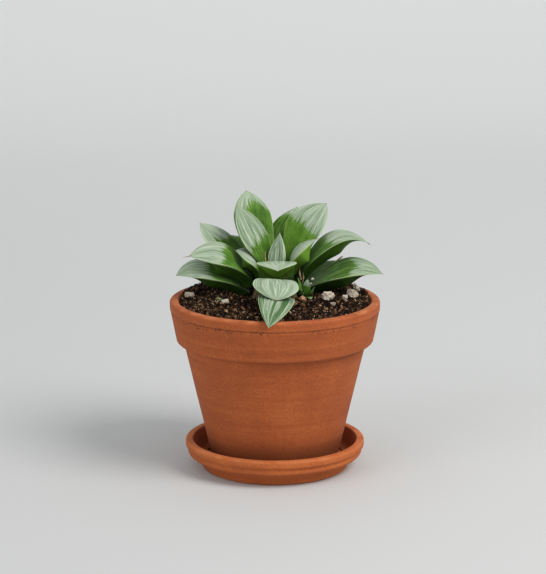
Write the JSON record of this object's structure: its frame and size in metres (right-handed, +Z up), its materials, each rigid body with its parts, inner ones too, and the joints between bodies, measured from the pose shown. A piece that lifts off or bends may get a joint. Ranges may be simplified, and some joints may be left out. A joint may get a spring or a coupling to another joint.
{
  "type": "potted haworthia",
  "caption": "Succulent rosette of thick green leaves with pale striped tips, in a clay pot that stands on a clay saucer.",
  "frame": {"origin": "middle of the saucer's flat underside, on the pot's turning axis", "axes": "+Z up along the pot's axis, -Y towards the plant's front, +X to its right"},
  "size_m": [0.111, 0.1164, 0.1427],
  "materials": {
    "saucer_clay": "matte",
    "pot_clay": "matte",
    "soil": "matte",
    "stem": "satin",
    "leaf": "satin",
    "offset_leaf": "satin",
    "pumice": "matte"
  },
  "bodies": {
    "root": {"saucer": "saucer_clay", "pot": "pot_clay", "soil": "soil", "stem": "stem", "leaf_01": "leaf", "leaf_02": "leaf", "leaf_03": "leaf", "leaf_04": "leaf", "leaf_05": "leaf", "leaf_06": "leaf", "leaf_07": "leaf", "leaf_08": "leaf", "leaf_09": "leaf", "leaf_10": "leaf", "leaf_11": "leaf", "leaf_12": "leaf", "leaf_13": "leaf", "leaf_14": "leaf", "leaf_15": "leaf", "leaf_16": "leaf", "leaf_17": "leaf", "leaf_18": "leaf", "leaf_19": "leaf", "offset_leaf_01": "offset_leaf", "offset_leaf_02": "offset_leaf", "offset_leaf_03": "offset_leaf", "offset_leaf_04": "offset_leaf", "offset_leaf_05": "offset_leaf", "stone_01": "pumice", "stone_02": "pumice", "stone_03": "pumice", "stone_04": "pumice", "stone_05": "pumice", "stone_06": "pumice", "stone_07": "pumice"}
  },
  "joints": []
}
